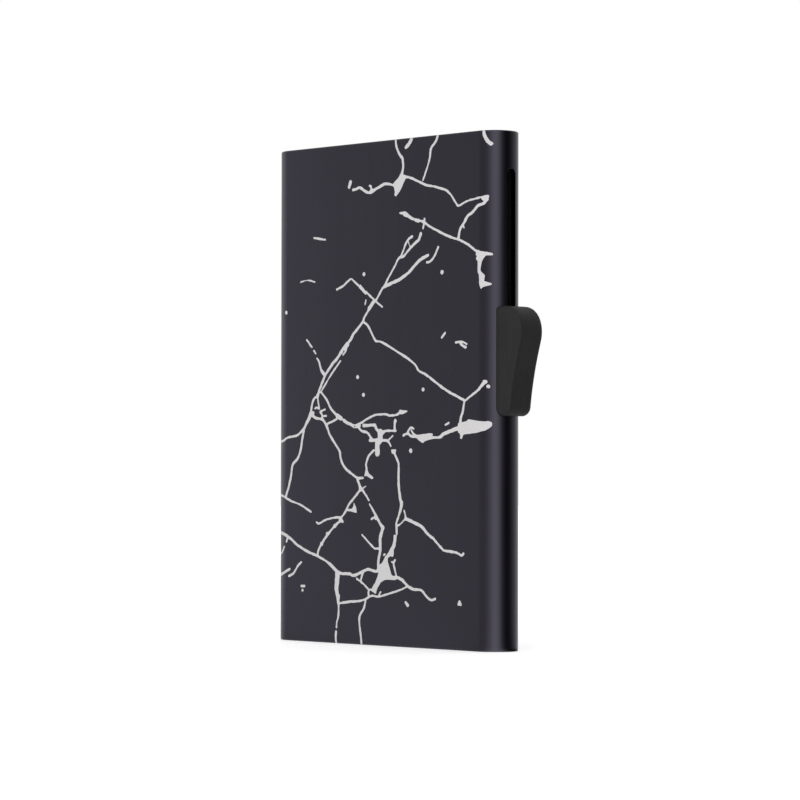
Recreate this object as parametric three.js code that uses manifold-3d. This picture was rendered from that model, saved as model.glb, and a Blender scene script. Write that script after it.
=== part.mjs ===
// A slim card wallet: a flattened aluminium sleeve, open at the top, that holds bank cards on end.
// A thumb tab on its right side runs in a slot and lifts a stepped carriage under the cards, so that
// they rise out of the mouth as a fan. Millimetres, +Z up, front face towards -Y, tab towards +X.
// The origin is the middle of the base.
import * as THREE from "three";
import { mergeVertices } from "three/addons/utils/BufferGeometryUtils.js";
import Module from "manifold-3d";

const wasm = await Module();
wasm.setup();

// ---------------------------------------------------------------- driving dimensions
const card = { width: 54, height: 85.6, pitch: 0.86, count: 6 };
const sleeve = { width: 62, thickness: 9, height: 98, wall: 1.1 };
const travel = 26; // how far the tab slides up

const sideRadius = sleeve.thickness / 2; // the sleeve's narrow sides are half rounds
const sideCentre = sleeve.width / 2 - sideRadius; // x of the half rounds' centres
const boreRadius = sideRadius - sleeve.wall; // half the depth of the space inside

const slot = { width: 2, bottom: 46.2, top: 90.8 };
const tab = { bottom: 44.2, top: 64.85, root: 29.4, reach: 36.5, halfDepth: 3.15, gap: 0.2 };
const neck = { halfDepth: 0.8, bottom: 47, top: 64.2, inner: 27, split: 0.4 };
const neckBead = { halfDepth: 1.15, length: 0.5 };

const fit = 0.12; // air between the sleeve and the mouldings that are bonded inside it
const bond = 0.05; // the glue line under foam
const running = 0.2; // air around what slides
const plateTop = 2; // thickness of the cap's base plate
const channel = { wall: 0.65, webLeft: 25.6, bottom: 2.2, top: 96.8, lid: 1 };
const guide = { face: -28.8, bottom: 12.4, top: 96.8 };
const foot = { left: 4, right: 25.3, bottom: 2.3, lowest: 3.4, rise: 1.5 };
const arm = { height: 4, halfDepth: 1.5 };
const deck = { left: -28, right: 3.2, top: 11.2, skin: 0.8, rib: 1, ribs: 5, setback: 0.3 };
const pad = { thickness: 0.5, inset: 0.6 };
const strip = { thickness: 0.72, width: 9, bottom: 40, top: 95.5, centres: [-16, 13] };
const spring = { bottom: 37.8, top: 45.6, bow: 0.45, gauge: 0.15, halfWidth: 1.3 };

const arcSteps = 24; // facets on each half round

// ---------------------------------------------------------------- materials
function finish(color, roughness, metalness) {
  return new THREE.MeshStandardMaterial({ color, roughness, metalness });
}
const finishes = {
  anodised: finish(0x38363b, 0.45, 0.85),
  tabPlastic: finish(0x2b2a2b, 0.7, 0),
  innerPlastic: finish(0x1c1c1e, 0.6, 0),
  foam: finish(0x26262a, 0.95, 0),
  steel: finish(0xa8a8a4, 0.35, 1),
};

// ---------------------------------------------------------------- solids
// Turns a closed three.js geometry into a solid that can be joined and cut.
function solid(geometry) {
  const bare = geometry.clone();
  bare.deleteAttribute("normal");
  bare.deleteAttribute("uv");
  const merged = mergeVertices(bare, 1e-4);
  const vertProperties = merged.attributes.position.array;
  const triVerts = new Uint32Array(merged.index.array);
  return new wasm.Manifold(new wasm.Mesh({ numProp: 3, vertProperties, triVerts }));
}

function geometryOf(body) {
  const { numProp, numVert, vertProperties, triVerts } = body.getMesh();
  const positions = new Float32Array(numVert * 3);
  for (let i = 0; i < numVert; i++) {
    positions.set(vertProperties.subarray(i * numProp, i * numProp + 3), i * 3);
  }
  const geometry = new THREE.BufferGeometry();
  geometry.setAttribute("position", new THREE.BufferAttribute(positions, 3));
  geometry.setIndex(new THREE.BufferAttribute(triVerts, 1));
  const flat = geometry.toNonIndexed();
  flat.computeVertexNormals();
  return flat;
}

function box(x0, x1, y0, y1, z0, z1) {
  const geometry = new THREE.BoxGeometry(x1 - x0, y1 - y0, z1 - z0);
  return solid(geometry.translate((x0 + x1) / 2, (y0 + y1) / 2, (z0 + z1) / 2));
}

// A shape drawn in X and Y, raised along Z.
function raised(shape, z0, z1) {
  const geometry = new THREE.ExtrudeGeometry(shape, {
    depth: z1 - z0,
    bevelEnabled: false,
    curveSegments: arcSteps,
  });
  return solid(geometry.translate(0, 0, z0));
}

// A shape drawn in X and Z, thickened evenly to both sides of Y = 0.
function thickened(shape, halfDepth) {
  const geometry = new THREE.ExtrudeGeometry(shape, {
    depth: 2 * halfDepth,
    bevelEnabled: false,
    curveSegments: arcSteps,
  });
  geometry.translate(0, 0, -halfDepth);
  return solid(geometry.rotateX(Math.PI / 2));
}

function stadium(radius) {
  const shape = new THREE.Shape();
  shape.absarc(sideCentre, 0, radius, -Math.PI / 2, Math.PI / 2);
  shape.absarc(-sideCentre, 0, radius, Math.PI / 2, (3 * Math.PI) / 2);
  shape.closePath();
  return shape;
}

// The space beside the cards inside one half round: a round side, and a flat side at x = flat.
function halfRound(radius, flat) {
  const shape = new THREE.Shape();
  shape.absarc(sideCentre, 0, radius, -Math.PI / 2, Math.PI / 2);
  shape.lineTo(flat, radius);
  shape.lineTo(flat, -radius);
  shape.closePath();
  return shape;
}

// A slot with round ends, standing upright and running through from x0 to x1.
function slotCutter(x0, x1, halfWidth, z0, z1) {
  const shape = new THREE.Shape();
  shape.absarc(0, z1 - halfWidth, halfWidth, 0, Math.PI);
  shape.absarc(0, z0 + halfWidth, halfWidth, Math.PI, 2 * Math.PI);
  shape.closePath();
  const geometry = new THREE.ExtrudeGeometry(shape, {
    depth: x1 - x0,
    bevelEnabled: false,
    curveSegments: arcSteps / 2,
  });
  // drawn in X and Y, so stand it up and turn its depth along +X
  geometry.rotateX(Math.PI / 2).rotateZ(Math.PI / 2);
  return solid(geometry.translate(x0, 0, 0));
}

// ---------------------------------------------------------------- the sleeve and what is bonded in it
function caseShell() {
  return raised(stadium(sideRadius), 0, sleeve.height)
    .subtract(raised(stadium(boreRadius), -1, sleeve.height + 1))
    .subtract(slotCutter(sideCentre, sleeve.width, slot.width / 2, slot.bottom, slot.top));
}

// The plug in the lower end: a base plate flush with the sleeve, and a ribbed deck that the cards
// stand on at rest, beside the lifting foot.
function bottomCap() {
  const half = boreRadius - fit;
  const deckHalf = half - deck.setback;
  let body = raised(stadium(half), 0, plateTop);
  body = body.add(box(deck.left, deck.right, -deckHalf, deckHalf, deck.top - deck.skin, deck.top));
  const span = deck.right - deck.rib - deck.left;
  for (let i = 0; i < deck.ribs; i++) {
    const x = deck.left + (span * i) / (deck.ribs - 1);
    body = body.add(box(x, x + deck.rib, -deckHalf, deckHalf, plateTop / 2, deck.top));
  }
  body = body.add(box(deck.left, deck.right, -deck.rib / 2, deck.rib / 2, plateTop / 2, deck.top));
  // the deck's left end follows the half round
  return body.intersect(raised(stadium(half), 0, deck.top));
}

function restPad() {
  const halfDepth = boreRadius - fit - deck.setback - pad.inset;
  const z = deck.top + bond;
  return box(deck.left + pad.inset, deck.right - pad.inset, -halfDepth, halfDepth, z, z + pad.thickness);
}

// The plastic guide for the sliding carriage: a D-shaped tube with a lid. Its flat web keeps the
// cards' edges off the carriage, and is open below where the carriage's arm comes through.
function sliderChannel() {
  const outer = boreRadius - fit;
  const inner = outer - channel.wall;
  const webRight = channel.webLeft + channel.wall;
  const windowHalf = arm.halfDepth + 0.25;
  const armTop = foot.bottom + arm.height + travel;
  return raised(halfRound(outer, channel.webLeft), channel.bottom, channel.top)
    .subtract(raised(halfRound(inner, webRight), channel.bottom - 1, channel.top - channel.lid))
    .subtract(slotCutter(sideCentre, sleeve.width, slot.width / 2 + 0.3, slot.bottom - 0.3, slot.top + 0.3))
    .subtract(box(channel.webLeft - 1, webRight + 0.05, -windowHalf, windowHalf, 0, armTop + 1.5));
}

// A solid strip in the far half round, so that the cards' other edges run on plastic too.
function sideGuide() {
  const strip = raised(stadium(boreRadius - fit), guide.bottom, guide.top);
  const edge = -sleeve.width / 2;
  return strip.intersect(box(edge, guide.face, -sleeve.thickness, sleeve.thickness, 0, sleeve.height));
}

// Foam bonded to an inside wall, which grips the cards. side is -1 for the front wall, 1 for the back.
function gripStrip(side, centre) {
  const y = side * (boreRadius - bond - strip.thickness / 2);
  const half = strip.thickness / 2;
  const reach = strip.width / 2;
  return box(centre - reach, centre + reach, y - half, y + half, strip.bottom, strip.top);
}

// ---------------------------------------------------------------- what slides
const runner = {
  left: channel.webLeft + channel.wall + 0.15,
  radius: boreRadius - fit - channel.wall - running,
  top: 69,
};

// One treads each card's lower edge. The treads climb from the front card to the back one.
function stairFoot() {
  const first = (-card.count * card.pitch) / 2;
  let body = box(foot.left, foot.right, first, -first, foot.bottom, foot.lowest);
  for (let i = 1; i < card.count; i++) {
    const y = first + i * card.pitch;
    const z = foot.lowest + i * foot.rise;
    body = body.add(box(foot.left, foot.right, y, -first, foot.bottom, z));
  }
  return body;
}

function liftCarriage() {
  const slotHalf = neck.halfDepth + 0.15;
  const beadHalf = neckBead.halfDepth + 0.15;
  const beadEnd = neck.inner + neckBead.length + 0.1;
  const rod = raised(halfRound(runner.radius, runner.left), foot.bottom, runner.top)
    .subtract(box(neck.inner - 0.1, sleeve.width, -slotHalf, slotHalf, neck.bottom - 0.15, neck.top + 0.15))
    .subtract(box(neck.inner - 0.1, beadEnd, -beadHalf, beadHalf, neck.bottom - 0.15, neck.top + 0.15))
    .subtract(box(0, runner.left + 0.6, -runner.radius, runner.radius, spring.bottom, spring.top));
  const armTop = foot.bottom + arm.height;
  const bridge = box(foot.right - 0.5, runner.left + 0.5, -arm.halfDepth, arm.halfDepth, foot.bottom, armTop);
  return stairFoot().add(bridge).add(rod);
}

// The outline of the thumb tab, in X and Z: a round foot, a hollow back for the thumb, a full head.
function tabOutline() {
  const footRadius = 1.95;
  const footCentre = [tab.root + footRadius, tab.bottom + footRadius];
  const corner = 0.4;
  const shape = new THREE.Shape();
  shape.moveTo(tab.root, tab.top - corner);
  shape.lineTo(tab.root, footCentre[1]);
  shape.absarc(footCentre[0], footCentre[1], footRadius, Math.PI, 2 * Math.PI);
  shape.quadraticCurveTo(tab.root + 4.5, tab.top - 13.3, tab.reach - 0.4, tab.top - 6.85);
  shape.bezierCurveTo(
    tab.reach + 0.65, tab.top - 3.75,
    tab.reach - 0.8, tab.top,
    tab.reach - 4.5, tab.top,
  );
  shape.lineTo(tab.root + corner, tab.top);
  shape.quadraticCurveTo(tab.root, tab.top, tab.root, tab.top - corner);
  return shape;
}

// The tab hugs the sleeve's half round. Its neck goes through the slot, is split so that it can pinch
// in, and ends in a bead that snaps into the carriage.
function thumbTab() {
  const clearance = new THREE.CylinderGeometry(1, 1, 2 * sleeve.height, 8 * arcSteps);
  clearance.scale(sideRadius + tab.gap, 1, sideRadius + tab.gap).rotateX(Math.PI / 2);
  const grip = thickened(tabOutline(), tab.halfDepth).subtract(solid(clearance.translate(sideCentre, 0, 0)));
  const plate = box(neck.inner, tab.root + 2.2, -neck.halfDepth, neck.halfDepth, neck.bottom, neck.top);
  const beadEnd = neck.inner + neckBead.length;
  const bead = box(neck.inner, beadEnd, -neckBead.halfDepth, neckBead.halfDepth, neck.bottom, neck.top);
  const split = box(neck.inner - 1, tab.root, -neck.split / 2, neck.split / 2, neck.bottom - 1, neck.top + 1);
  return grip.add(plate).add(bead).subtract(split);
}

// A bowed leaf in the carriage's recess, which rubs on the channel's web and holds the tab where it is put.
function brakeSpring() {
  const seat = runner.left + 0.55;
  const end = spring.top - 0.15;
  const start = spring.bottom + 0.15;
  const middle = (start + end) / 2;
  const crown = seat - spring.gauge - 2 * spring.bow;
  const shape = new THREE.Shape();
  shape.moveTo(seat, start);
  shape.quadraticCurveTo(crown + spring.gauge, middle, seat, end);
  shape.lineTo(seat - spring.gauge, end);
  shape.quadraticCurveTo(crown, middle, seat - spring.gauge, start);
  shape.closePath();
  return thickened(shape, spring.halfWidth);
}

// ---------------------------------------------------------------- assembly
function piece(name, body, material) {
  const mesh = new THREE.Mesh(geometryOf(body), material);
  mesh.name = name;
  return mesh;
}

const fixedParts = new THREE.Group();
fixedParts.add(
  piece("case_shell", caseShell(), finishes.anodised),
  piece("bottom_cap", bottomCap(), finishes.innerPlastic),
  piece("rest_pad", restPad(), finishes.foam),
  piece("slider_channel", sliderChannel(), finishes.innerPlastic),
  piece("side_guide", sideGuide(), finishes.innerPlastic),
);
for (const [wall, side] of [["front", -1], ["rear", 1]]) {
  for (const [end, centre] of [["left", strip.centres[0]], ["right", strip.centres[1]]]) {
    fixedParts.add(piece(`grip_strip_${wall}_${end}`, gripStrip(side, centre), finishes.foam));
  }
}

const slidingParts = new THREE.Group();
slidingParts.add(
  piece("lift_carriage", liftCarriage(), finishes.innerPlastic),
  piece("thumb_tab", thumbTab(), finishes.tabPlastic),
  piece("brake_spring", brakeSpring(), finishes.steel),
);

const wallet = new THREE.Group();
wallet.add(fixedParts, slidingParts);
export default wallet;
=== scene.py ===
import math

import bmesh
import bpy
import numpy as np
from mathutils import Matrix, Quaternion, Vector


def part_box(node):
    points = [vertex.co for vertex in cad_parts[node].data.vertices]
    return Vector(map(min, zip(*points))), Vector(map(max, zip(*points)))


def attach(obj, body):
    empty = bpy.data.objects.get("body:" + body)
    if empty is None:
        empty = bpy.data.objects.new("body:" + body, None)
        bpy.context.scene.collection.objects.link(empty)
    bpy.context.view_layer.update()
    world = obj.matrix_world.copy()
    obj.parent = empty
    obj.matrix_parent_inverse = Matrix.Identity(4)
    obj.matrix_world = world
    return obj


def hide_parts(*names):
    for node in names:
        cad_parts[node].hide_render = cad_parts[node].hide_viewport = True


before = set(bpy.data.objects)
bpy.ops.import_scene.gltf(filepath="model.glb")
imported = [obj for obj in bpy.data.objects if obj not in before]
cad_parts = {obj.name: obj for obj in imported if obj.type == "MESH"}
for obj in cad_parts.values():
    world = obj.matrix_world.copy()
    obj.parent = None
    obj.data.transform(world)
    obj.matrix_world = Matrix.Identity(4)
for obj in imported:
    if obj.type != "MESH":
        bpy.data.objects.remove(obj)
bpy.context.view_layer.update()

# Shapes below are worked out in millimetres, and turned to metres when a mesh is made.
mm = 0.001


def boxMm(node):
    low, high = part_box(node)
    return low / mm, high / mm


shellHigh = boxMm("case_shell")[1]
outerRadius = shellHigh.y  # of the sleeve's round sides
sideCentre = shellHigh.x - outerRadius  # x of those rounds' centres
sleeveHeight = shellHigh.z


# ---- small helpers

def addObject(name, points, faces, smooth=True):
    mesh = bpy.data.meshes.new(name)
    mesh.from_pydata([(x * mm, y * mm, z * mm) for x, y, z in points], [], faces)
    mesh.validate()
    obj = bpy.data.objects.new(name, mesh)
    bpy.context.scene.collection.objects.link(obj)
    faceOutward(mesh)
    mesh.polygons.foreach_set("use_smooth", [smooth] * len(mesh.polygons))
    return obj


def faceOutward(mesh):
    bm = bmesh.new()
    bm.from_mesh(mesh)
    bmesh.ops.recalc_face_normals(bm, faces=bm.faces)
    bm.to_mesh(mesh)
    bm.free()


def bevelWeights(obj, weightOf):
    # weightOf maps a pair of point numbers to a weight
    bm = bmesh.new()
    bm.from_mesh(obj.data)
    bm.verts.ensure_lookup_table()
    layer = bm.edges.layers.float.new("bevel_weight_edge")
    for (a, b), weight in weightOf.items():
        edge = bm.edges.get((bm.verts[a], bm.verts[b]))
        if edge:
            edge[layer] = weight
    bm.to_mesh(obj.data)
    bm.free()


def roundEdges(obj, width, segments=3, angle=None):
    bevel = obj.modifiers.new("roundedEdges", "BEVEL")
    bevel.width = width * mm
    bevel.segments = segments
    bevel.limit_method = "ANGLE" if angle else "WEIGHT"
    if angle:
        bevel.angle_limit = math.radians(angle)
    bevel.use_clamp_overlap = bool(angle)
    evenNormals = obj.modifiers.new("evenNormals", "WEIGHTED_NORMAL")
    evenNormals.keep_sharp = False
    return bevel


def applyModifiers(obj):
    shape = obj.evaluated_get(bpy.context.evaluated_depsgraph_get())
    finished = bpy.data.meshes.new_from_object(shape)
    obj.modifiers.clear()
    obj.data = finished


def bezier(controls, steps):
    # any order; leaves out the first point
    points = []
    for step in range(1, steps + 1):
        t = step / steps
        row = [Vector(c) for c in controls]
        while len(row) > 1:
            row = [a.lerp(b, t) for a, b in zip(row, row[1:])]
        points.append(tuple(row[0]))
    return points


def arc(centre, radius, start, end, steps):
    turns = [math.radians(start + (end - start) * i / steps) for i in range(steps + 1)]
    return [(centre[0] + radius * math.cos(a), centre[1] + radius * math.sin(a)) for a in turns]


def place(obj, body, slot, *nodes):
    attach(obj, body)
    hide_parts(*nodes)


# ---- camera: a long lens at the height of the wallet's lower half, looking very slightly up

cameraSetup = {
    "azimuth": 45.31,  # degrees round from the printed front, towards the tab
    "distance": 600.3,
    "eyeHeight": 34.6,
    "lookUp": 1.25,  # degrees
    "roll": 0.085,  # degrees
    "aside": 0.79,  # the lens axis passes this far to the right of the sleeve's axis
    "lens": 138.56,
}


def makeCamera():
    turn = math.radians(cameraSetup["azimuth"])
    tilt = math.radians(cameraSetup["lookUp"])
    right = Vector((math.cos(turn), math.sin(turn), 0))
    away = Vector((-math.sin(turn), math.cos(turn), 0))
    data = bpy.data.cameras.new("studioCamera")
    data.lens = cameraSetup["lens"]
    data.sensor_width = 36
    data.clip_start = 0.01
    camera = bpy.data.objects.new("studioCamera", data)
    bpy.context.scene.collection.objects.link(camera)
    spot = right * cameraSetup["aside"] - away * cameraSetup["distance"]
    spot.z = cameraSetup["eyeHeight"]
    camera.location = spot * mm
    gaze = away * math.cos(tilt) + Vector((0, 0, math.sin(tilt)))
    camera.rotation_mode = "QUATERNION"
    roll = Quaternion((0, 0, 1), math.radians(cameraSetup["roll"]))
    camera.rotation_quaternion = gaze.to_track_quat("-Z", "Y") @ roll
    bpy.context.scene.camera = camera


makeCamera()
print("camera placed")


# ---- shader helpers and the effects that several materials share

def addNode(tree, kind, label="", **settings):
    node = tree.nodes.new(kind)
    node.label = label
    for key, value in settings.items():
        setattr(node, key, value)
    return node


def feed(tree, source, target):
    tree.links.new(source, target)


def calculate(tree, operation, first, second=None, clamp=False):
    node = addNode(tree, "ShaderNodeMath", operation=operation, use_clamp=clamp)
    for socket, value in zip(node.inputs, (first, second)):
        if value is None:
            continue
        if isinstance(value, (int, float)):
            socket.default_value = value
        else:
            feed(tree, value, socket)
    return node.outputs[0]


def newGroup(name, inputs, outputs):
    tree = bpy.data.node_groups.new(name, "ShaderNodeTree")
    for label, kind, value in inputs:
        socket = tree.interface.new_socket(label, in_out="INPUT", socket_type=kind)
        if value is not None:
            socket.default_value = value
    for label, kind in outputs:
        tree.interface.new_socket(label, in_out="OUTPUT", socket_type=kind)
    entry = addNode(tree, "NodeGroupInput")
    leave = addNode(tree, "NodeGroupOutput")
    return tree, entry.outputs, leave.inputs


def fineGrain():
    # blasted or moulded grain: a sharp small pattern over a softer, larger one
    tree, given, result = newGroup(
        "fineGrain",
        [
            ("Position", "NodeSocketVector", None),
            ("Grain Size", "NodeSocketFloat", 0.0002),
            ("Softness", "NodeSocketFloat", 0.5),
        ],
        [("Height", "NodeSocketFloat"), ("Speckle", "NodeSocketFloat")],
    )
    scale = calculate(tree, "DIVIDE", 1.0, given["Grain Size"])
    small = addNode(tree, "ShaderNodeTexNoise", "small grain")
    small.inputs["Detail"].default_value = 3
    large = addNode(tree, "ShaderNodeTexNoise", "large grain")
    large.inputs["Detail"].default_value = 2
    cells = addNode(tree, "ShaderNodeTexVoronoi", "pits", feature="SMOOTH_F1")
    for texture, factor in ((small, 1.0), (large, 0.3), (cells, 0.7)):
        feed(tree, given["Position"], texture.inputs["Vector"])
        feed(tree, calculate(tree, "MULTIPLY", scale, factor), texture.inputs["Scale"])
    blend = addNode(tree, "ShaderNodeMix")
    feed(tree, given["Softness"], blend.inputs["Factor"])
    feed(tree, calculate(tree, "ADD", small.outputs["Fac"], cells.outputs["Distance"]), blend.inputs[2])
    feed(tree, calculate(tree, "MULTIPLY", large.outputs["Fac"], 2.0), blend.inputs[3])
    feed(tree, blend.outputs[0], result["Height"])
    feed(tree, small.outputs["Fac"], result["Speckle"])
    return tree


def handling():
    # faint smears and rubbed patches left by fingers and pockets
    tree, given, result = newGroup(
        "handling",
        [
            ("Position", "NodeSocketVector", None),
            ("Patch Size", "NodeSocketFloat", 0.02),
            ("Amount", "NodeSocketFloat", 0.5),
        ],
        [("Mask", "NodeSocketFloat")],
    )
    scale = calculate(tree, "DIVIDE", 1.0, given["Patch Size"])
    patches = addNode(tree, "ShaderNodeTexNoise", "patches")
    patches.inputs["Detail"].default_value = 4
    patches.inputs["Distortion"].default_value = 0.6
    streaks = addNode(tree, "ShaderNodeTexNoise", "streaks")
    streaks.inputs["Detail"].default_value = 5
    squeeze = addNode(tree, "ShaderNodeVectorMath", operation="MULTIPLY")
    squeeze.inputs[1].default_value = (1.0, 1.0, 0.12)
    feed(tree, given["Position"], squeeze.inputs[0])
    feed(tree, given["Position"], patches.inputs["Vector"])
    feed(tree, squeeze.outputs[0], streaks.inputs["Vector"])
    feed(tree, scale, patches.inputs["Scale"])
    feed(tree, calculate(tree, "MULTIPLY", scale, 6.0), streaks.inputs["Scale"])
    both = calculate(tree, "MULTIPLY", patches.outputs["Fac"], streaks.outputs["Fac"])
    spread = addNode(tree, "ShaderNodeMapRange", "spread")
    spread.inputs["From Min"].default_value = 0.18
    spread.inputs["From Max"].default_value = 0.36
    feed(tree, both, spread.inputs["Value"])
    feed(tree, calculate(tree, "MULTIPLY", spread.outputs[0], given["Amount"]), result["Mask"])
    return tree


def rimRub():
    # 1 at two heights, where an edge is rubbed, fading away from them and broken up by noise
    tree, given, result = newGroup(
        "rimRub",
        [
            ("Position", "NodeSocketVector", None),
            ("Low Edge", "NodeSocketFloat", 0.0),
            ("High Edge", "NodeSocketFloat", 0.1),
            ("Reach", "NodeSocketFloat", 0.0005),
        ],
        [("Mask", "NodeSocketFloat")],
    )
    parts = addNode(tree, "ShaderNodeSeparateXYZ")
    feed(tree, given["Position"], parts.inputs[0])
    above = calculate(tree, "SUBTRACT", parts.outputs["Z"], given["Low Edge"])
    below = calculate(tree, "SUBTRACT", given["High Edge"], parts.outputs["Z"])
    nearest = calculate(tree, "DIVIDE", calculate(tree, "MINIMUM", above, below), given["Reach"])
    closeness = calculate(tree, "SUBTRACT", 1.0, nearest, clamp=True)
    broken = addNode(tree, "ShaderNodeTexNoise", "broken up")
    broken.inputs["Scale"].default_value = 900
    broken.inputs["Detail"].default_value = 4
    feed(tree, given["Position"], broken.inputs["Vector"])
    feed(tree, calculate(tree, "MULTIPLY", closeness, broken.outputs["Fac"]), result["Mask"])
    return tree


grainGroup = fineGrain()
handlingGroup = handling()
rimGroup = rimRub()


def useGroup(tree, group, **values):
    node = addNode(tree, "ShaderNodeGroup", group.name, node_tree=group)
    for key, value in values.items():
        node.inputs[key.replace("_", " ")].default_value = value
    return node


def newMaterial(name, metallic, roughness, specular=0.5):
    material = bpy.data.materials.new(name)
    material.use_nodes = True
    tree = material.node_tree
    shader = tree.nodes["Principled BSDF"]
    shader.inputs["Metallic"].default_value = metallic
    shader.inputs["Roughness"].default_value = roughness
    shader.inputs["Specular IOR Level"].default_value = specular
    coordinate = addNode(tree, "ShaderNodeTexCoord")
    return material, tree, shader, coordinate.outputs["Object"]


def rampTo(tree, factor, stops, target, interpolation="EASE"):
    ramp = addNode(tree, "ShaderNodeValToRGB")
    ramp.color_ramp.interpolation = interpolation
    while len(ramp.color_ramp.elements) < len(stops):
        ramp.color_ramp.elements.new(0.5)
    for element, (position, colour) in zip(ramp.color_ramp.elements, stops):
        element.position = position
        element.color = (*colour, 1) if len(colour) == 3 else colour
    feed(tree, factor, ramp.inputs[0])
    feed(tree, ramp.outputs[0], target)
    return ramp


def between(tree, factor, low, high):
    span = addNode(tree, "ShaderNodeMapRange")
    span.inputs["To Min"].default_value = low
    span.inputs["To Max"].default_value = high
    feed(tree, factor, span.inputs["Value"])
    return span.outputs[0]


def bumpTo(tree, height, shader, strength, distance):
    bump = addNode(tree, "ShaderNodeBump")
    bump.inputs["Strength"].default_value = strength
    bump.inputs["Distance"].default_value = distance
    feed(tree, height, bump.inputs["Height"])
    feed(tree, bump.outputs[0], shader.inputs["Normal"])


# ---- the finishes

anodisedLook = {
    "dark": (0.0370, 0.0345, 0.0450),
    "light": (0.0460, 0.0425, 0.0560),
    "rubbed": (0.085, 0.082, 0.092),
    "roughness": (0.24, 0.31),
    "grain": 0.00016,
    "patch": 0.024,
}


def anodisedAluminium():
    look = anodisedLook
    material, tree, shader, position = newMaterial("anodisedAluminium", 1.0, 0.38)
    grain = useGroup(tree, grainGroup, Grain_Size=look["grain"], Softness=0.35)
    wear = useGroup(tree, handlingGroup, Patch_Size=look["patch"], Amount=0.8)
    rim = useGroup(tree, rimGroup, Low_Edge=0.0, High_Edge=sleeveHeight * mm, Reach=0.0004)
    for node in (grain, wear, rim):
        feed(tree, position, node.inputs["Position"])
    tone = addNode(tree, "ShaderNodeMix", data_type="RGBA")
    tone.inputs[6].default_value = (*look["dark"], 1)
    tone.inputs[7].default_value = (*look["light"], 1)
    feed(tree, grain.outputs["Speckle"], tone.inputs[0])
    rubbed = addNode(tree, "ShaderNodeMix", data_type="RGBA")
    rubbed.inputs[7].default_value = (*look["rubbed"], 1)
    feed(tree, tone.outputs[2], rubbed.inputs[6])
    feed(tree, rim.outputs["Mask"], rubbed.inputs[0])
    feed(tree, rubbed.outputs[2], shader.inputs["Base Color"])
    feed(tree, between(tree, wear.outputs["Mask"], *look["roughness"]), shader.inputs["Roughness"])
    bumpTo(tree, grain.outputs["Height"], shader, 0.4, 0.00001)
    return material


inkLook = {
    "thin": (0.550, 0.540, 0.548),
    "full": (0.640, 0.628, 0.638),
    "roughness": (0.42, 0.55),
}


def marbleInk():
    look = inkLook
    material, tree, shader, position = newMaterial("marbleInk", 0.0, 0.5)
    grain = useGroup(tree, grainGroup, Grain_Size=0.00016, Softness=0.3)
    wear = useGroup(tree, handlingGroup, Patch_Size=0.012, Amount=1.0)
    for node in (grain, wear):
        feed(tree, position, node.inputs["Position"])
    stops = [(0.30, look["thin"]), (0.55, look["full"])]
    rampTo(tree, grain.outputs["Speckle"], stops, shader.inputs["Base Color"])
    feed(tree, between(tree, wear.outputs["Mask"], *look["roughness"]), shader.inputs["Roughness"])
    bumpTo(tree, grain.outputs["Height"], shader, 0.3, 0.00001)
    return material


def mouldedPlastic(name, look):
    material, tree, shader, position = newMaterial(name, 0.0, look["roughness"][0], look["specular"])
    grain = useGroup(tree, grainGroup, Grain_Size=look["grain"], Softness=0.4)
    wear = useGroup(tree, handlingGroup, Patch_Size=look["patch"], Amount=1.0)
    for node in (grain, wear):
        feed(tree, position, node.inputs["Position"])
    stops = [(0.3, look["dark"]), (0.7, look["light"])]
    rampTo(tree, grain.outputs["Speckle"], stops, shader.inputs["Base Color"])
    feed(tree, between(tree, wear.outputs["Mask"], *look["roughness"]), shader.inputs["Roughness"])
    bumpTo(tree, grain.outputs["Height"], shader, look["bump"], 0.00003)
    return material


tabLook = {
    "dark": (0.0118, 0.0114, 0.0120),
    "light": (0.0184, 0.0178, 0.0186),
    "roughness": (0.60, 0.72),
    "specular": 0.24,
    "grain": 0.00018,
    "patch": 0.006,
    "bump": 0.45,
}
innerLook = {
    "dark": (0.0065, 0.0065, 0.0070),
    "light": (0.0110, 0.0110, 0.0115),
    "roughness": (0.42, 0.56),
    "specular": 0.12,
    "grain": 0.00022,
    "patch": 0.010,
    "bump": 0.25,
}

foamLook = {
    # the darkest colour is painted shade, for the foam's sunken pores
    "pitShade": (0.008, 0.008, 0.009),
    "cell": (0.036, 0.036, 0.039),
    "grain": 0.00035,
}


def microFoam():
    look = foamLook
    material, tree, shader, position = newMaterial("microFoam", 0.0, 0.95, 0.2)
    shader.inputs["Sheen Weight"].default_value = 0.25
    shader.inputs["Sheen Roughness"].default_value = 0.6
    grain = useGroup(tree, grainGroup, Grain_Size=look["grain"], Softness=0.15)
    wear = useGroup(tree, handlingGroup, Patch_Size=0.008, Amount=1.0)
    for node in (grain, wear):
        feed(tree, position, node.inputs["Position"])
    # painted shade: the colour darkens where the grain is low, in the pores
    stops = [(0.35, look["pitShade"]), (0.85, look["cell"])]
    rampTo(tree, grain.outputs["Height"], stops, shader.inputs["Base Color"])
    feed(tree, between(tree, wear.outputs["Mask"], 0.97, 0.84), shader.inputs["Roughness"])
    bumpTo(tree, grain.outputs["Height"], shader, 0.8, 0.00008)
    return material


springLook = {
    "dark": (0.36, 0.35, 0.34),
    "light": (0.58, 0.57, 0.55),
    "roughness": (0.24, 0.42),
}


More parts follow.
